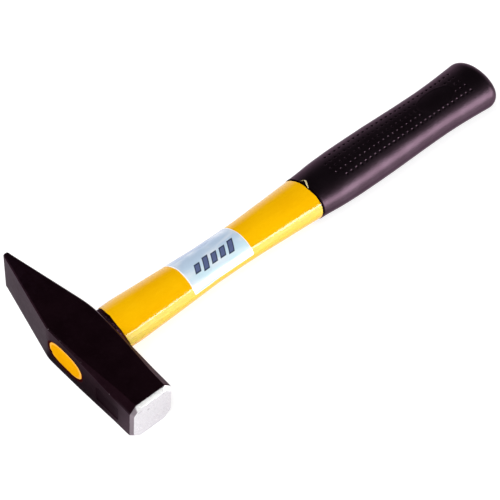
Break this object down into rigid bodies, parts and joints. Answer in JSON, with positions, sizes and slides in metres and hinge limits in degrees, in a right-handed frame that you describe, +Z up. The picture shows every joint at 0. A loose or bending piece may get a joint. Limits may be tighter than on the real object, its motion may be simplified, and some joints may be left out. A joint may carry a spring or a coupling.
{
  "type": "cross-peen hammer",
  "caption": "Cross-peen hammer: square forged head with flat striking face and wedge peen on an oval moulded handle with a soft dotted grip.",
  "frame": {"origin": "centre of the bounding box in X and Y, on the plane the tool rests on when it lies on one cheek", "axes": "+X along the handle from the head to the butt, -Y towards the striking face, +Y towards the peen, +Z up, normal to the upper cheek of the head"},
  "size_m": [0.318, 0.1206, 0.0271],
  "materials": {
    "forged_steel": "black lacquer, striking face ground bright",
    "yellow_plastic": "glossy moulded",
    "resin": "cast",
    "glass_fibre": "pultruded, satin",
    "collar_plastic": "satin",
    "label_foil": "printed foil",
    "grip_rubber": "soft satin with fine dots"
  },
  "bodies": {
    "root": {"hammer_head": "forged_steel", "eye_plug": "yellow_plastic", "eye_resin": "resin", "fibreglass_core": "glass_fibre", "neck_collar": "collar_plastic", "handle_jacket": "yellow_plastic", "foil_label": "label_foil", "grip_sleeve": "grip_rubber"}
  },
  "joints": []
}
